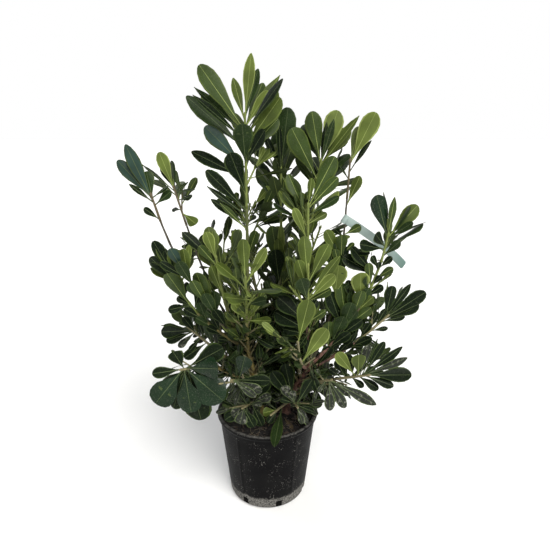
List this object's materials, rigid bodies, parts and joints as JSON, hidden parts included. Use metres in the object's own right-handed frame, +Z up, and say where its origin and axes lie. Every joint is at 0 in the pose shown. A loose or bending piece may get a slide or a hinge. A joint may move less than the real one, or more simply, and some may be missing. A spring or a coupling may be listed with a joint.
{
  "type": "potted japanese pittosporum",
  "caption": "Young evergreen shrub with leathery blunt leaves in rosettes on several leaning stems, standing in a round tapered black nursery pot filled with soil, with a bare strip label.",
  "frame": {"origin": "middle of the pot's flat underside", "axes": "+Z up along the pot's axis, -Y towards the viewer of the picture, +X to their right"},
  "size_m": [0.5125, 0.4662, 0.8245],
  "materials": {
    "pot_plastic": "black moulded plastic, dusty towards the foot",
    "potting_mix": "dark damp potting mix with dry litter",
    "bark": "smooth young bark, reddish brown to olive",
    "leaf": "glossy leathery leaf",
    "label_plastic": "smooth bare plastic strip"
  },
  "bodies": {
    "root": {"pot": "pot_plastic", "soil": "potting_mix", "stem_right": "bark", "stem_left": "bark", "stem_back": "bark", "bough_leader": "bark", "bough_right_leader": "bark", "bough_centre_leader": "bark", "bough_right_spire": "bark", "bough_left_spire": "bark", "bough_left_second": "bark", "bough_centre_right": "bark", "bough_right_shoulder": "bark", "bough_left_shoulder": "bark", "bough_left_low": "bark", "bough_right_low": "bark", "bough_right_middle": "bark", "bough_left_middle": "bark", "bough_front_left": "bark", "bough_front_centre": "bark", "bough_front_right": "bark", "bough_front_low": "bark", "bough_front_low_left": "bark", "bough_front_low_right": "bark", "bough_back_high": "bark", "bough_back_right": "bark", "bough_back_left": "bark", "bough_back_low": "bark", "bough_back_low_right": "bark", "bough_back_low_left": "bark", "label": "label_plastic", "foliage_leader": "leaf", "foliage_right_leader": "leaf", "foliage_centre_leader": "leaf", "foliage_right_spire": "leaf", "foliage_left_spire": "leaf", "foliage_left_second": "leaf", "foliage_centre_right": "leaf", "foliage_right_shoulder": "leaf", "foliage_left_shoulder": "leaf", "foliage_left_low": "leaf", "foliage_right_low": "leaf", "foliage_right_middle": "leaf", "foliage_left_middle": "leaf", "foliage_front_left": "leaf", "foliage_front_centre": "leaf", "foliage_front_right": "leaf", "foliage_front_low": "leaf", "foliage_front_low_left": "leaf", "foliage_front_low_right": "leaf", "foliage_back_high": "leaf", "foliage_back_right": "leaf", "foliage_back_left": "leaf", "foliage_back_low": "leaf", "foliage_back_low_right": "leaf", "foliage_back_low_left": "leaf", "foliage_skirt_left": "leaf", "foliage_skirt_right": "leaf", "foliage_rim_sprig": "leaf"}
  },
  "joints": []
}
